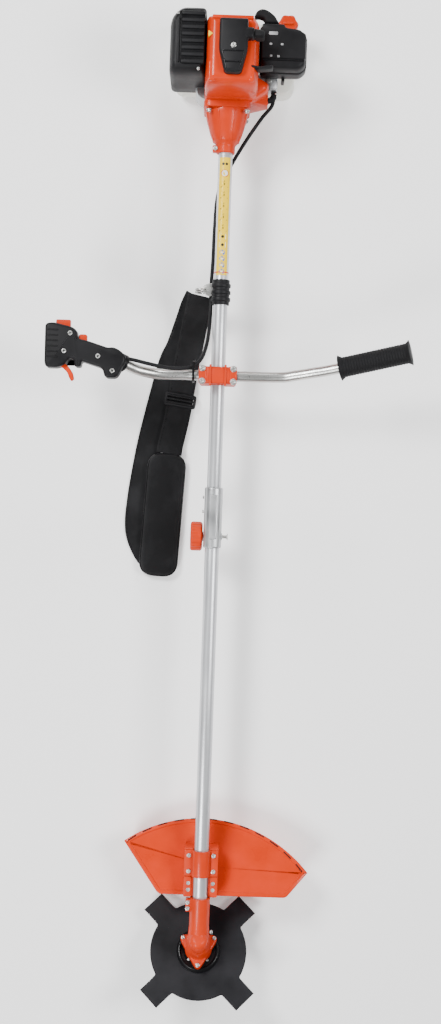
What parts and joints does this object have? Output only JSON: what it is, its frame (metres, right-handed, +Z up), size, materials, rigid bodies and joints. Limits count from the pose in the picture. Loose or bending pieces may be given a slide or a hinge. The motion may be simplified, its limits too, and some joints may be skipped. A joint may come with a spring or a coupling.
{
  "type": "brush cutter",
  "caption": "Petrol brush cutter with a split boom, cowhorn handlebar, shoulder strap, orange cutting guard and a square-toothed metal blade, lying on the floor.",
  "frame": {"origin": "centre of the underside of the foot below the fuel tank, on the floor", "axes": "+Z up, +Y along the boom toward the engine, +X toward the right-hand grip"},
  "size_m": [0.6536, 1.825, 0.262],
  "materials": {
    "black_plastic": "satin",
    "orange_plastic": "semi-gloss",
    "steel": "satin",
    "cast_aluminium": "cast",
    "boom_paint": "satin",
    "translucent_white": "satin",
    "blade_black": "satin",
    "rubber": "matte",
    "webbing": "woven"
  },
  "bodies": {
    "machine": {"upper_boom_tube": "boom_paint", "coupler_body": "cast_aluminium", "clutch_housing": "orange_plastic", "crankcase": "cast_aluminium", "fan_housing": "orange_plastic", "cylinder": "cast_aluminium", "piston": "cast_aluminium", "spark_plug": "steel", "engine_top_cover": "orange_plastic", "spark_plug_cover": "black_plastic", "muffler": "steel", "muffler_guard": "black_plastic", "intake_insulator": "black_plastic", "carburettor": "cast_aluminium", "air_filter_base": "black_plastic", "air_filter_cover": "black_plastic", "fuel_tank": "translucent_white", "tank_foot": "black_plastic", "starter_housing": "black_plastic", "handlebar_tube": "steel", "right_grip": "rubber", "handlebar_clamp_base": "orange_plastic", "handlebar_clamp_cap": "orange_plastic", "boom_clamp_cap": "orange_plastic", "throttle_housing_front": "black_plastic", "throttle_housing_rear": "black_plastic", "throttle_cable_conduit": "black_plastic", "hanger_clamp": "black_plastic", "snap_hook": "steel", "strap_long_band": "webbing", "strap_front_band": "webbing", "strap_buckle": "black_plastic", "shoulder_pad": "webbing"},
    "lower_boom": {"lower_boom_tube": "boom_paint", "gear_case": "orange_plastic", "guard": "orange_plastic", "guard_bracket_base": "orange_plastic", "guard_bracket_cap": "orange_plastic", "line_cutter": "steel"},
    "lower_drive": {"lower_drive_shaft": "steel"},
    "blade_set": {"blade": "blade_black", "blade_holder": "blade_black", "blade_nut": "steel", "output_shaft": "steel", "driven_gear": "steel"},
    "upper_drive": {"upper_drive_shaft": "steel", "clutch_drum": "steel"},
    "crank": {"crankshaft": "steel", "clutch_shoes": "steel", "flywheel_fan": "cast_aluminium"},
    "trigger": {"throttle_trigger": "orange_plastic"},
    "stop_switch": {"stop_switch": "orange_plastic"},
    "lock_button": {"lock_button": "orange_plastic"},
    "choke_lever": {"choke_lever": "black_plastic"},
    "fuel_cap": {"fuel_cap": "orange_plastic"},
    "starter_grip": {"starter_grip": "black_plastic"},
    "starter_pulley": {"starter_pulley": "black_plastic"},
    "coupler_knob": {"coupler_knob": "orange_plastic"},
    "coupler_lock_pin": {"coupler_lock_pin": "steel"},
    "hook_gate": {"snap_hook_gate": "steel"}
  },
  "joints": [
    {"name": "boom_split", "type": "slide", "parent": "machine", "child": "lower_boom", "axis": [0, -1, 0], "range_m": [0, 0.1]},
    {"name": "blade_spin", "type": "hinge", "parent": "lower_boom", "child": "blade_set", "pos_m": [0, -1.623, 0.115], "axis": [0, -0.5, -0.866], "continuous": true},
    {"name": "lower_drive_spin", "type": "hinge", "parent": "lower_boom", "child": "lower_drive", "pos_m": [0, -1, 0.115], "axis": [0, 1, 0], "continuous": true},
    {"name": "upper_drive_spin", "type": "hinge", "parent": "machine", "child": "upper_drive", "pos_m": [0, -0.4, 0.115], "axis": [0, 1, 0], "continuous": true},
    {"name": "crank_spin", "type": "hinge", "parent": "machine", "child": "crank", "pos_m": [0, -0.025, 0.115], "axis": [0, 1, 0], "continuous": true},
    {"name": "trigger_squeeze", "type": "hinge", "parent": "machine", "child": "trigger", "pos_m": [-0.279, -0.5825, 0.189], "axis": [0, 0, 1], "range_deg": [0, 14], "stiffness_Nm_per_rad": 0.15},
    {"name": "stop_switch_slide", "type": "slide", "parent": "machine", "child": "stop_switch", "axis": [-1, 0, 0], "range_m": [0, 0.004]},
    {"name": "lock_button_press", "type": "slide", "parent": "machine", "child": "lock_button", "axis": [0, -1, 0], "range_m": [0, 0.004], "stiffness_N_per_m": 400},
    {"name": "choke_turn", "type": "hinge", "parent": "machine", "child": "choke_lever", "pos_m": [0.099, -0.051, 0.142], "axis": [0, -1, 0], "range_deg": [0, 60]},
    {"name": "fuel_cap_turn", "type": "hinge", "parent": "machine", "child": "fuel_cap", "pos_m": [0.107, 0.066, 0.088], "axis": [0, 0, 1], "range_deg": [0, 360]},
    {"name": "starter_pull", "type": "slide", "parent": "machine", "child": "starter_grip", "axis": [0, 1, 0], "range_m": [0, 0.6], "stiffness_N_per_m": 20},
    {"name": "starter_pulley_turn", "type": "hinge", "parent": "machine", "child": "starter_pulley", "pos_m": [0, 0.05, 0.115], "axis": [0, 1, 0], "range_deg": [0, 1150]},
    {"name": "coupler_knob_turn", "type": "hinge", "parent": "machine", "child": "coupler_knob", "pos_m": [-0.03, -0.8797, 0.0925], "axis": [1, 0, 0], "range_deg": [0, 720]},
    {"name": "lock_pin_pull", "type": "slide", "parent": "machine", "child": "coupler_lock_pin", "axis": [1, 0, 0], "range_m": [0, 0.006], "stiffness_N_per_m": 600},
    {"name": "hook_gate_swing", "type": "hinge", "parent": "machine", "child": "hook_gate", "pos_m": [-0.045, -0.4298, 0.1106], "axis": [0, 1, 0], "range_deg": [0, 16], "stiffness_Nm_per_rad": 0.01}
  ],
  "couplings": [
    {"joint": "lower_drive_spin", "follows": "blade_spin", "ratio": -1.3333},
    {"joint": "upper_drive_spin", "follows": "blade_spin", "ratio": -1.3333},
    {"joint": "starter_pulley_turn", "follows": "starter_pull", "rad_per_m": 33.333}
  ]
}
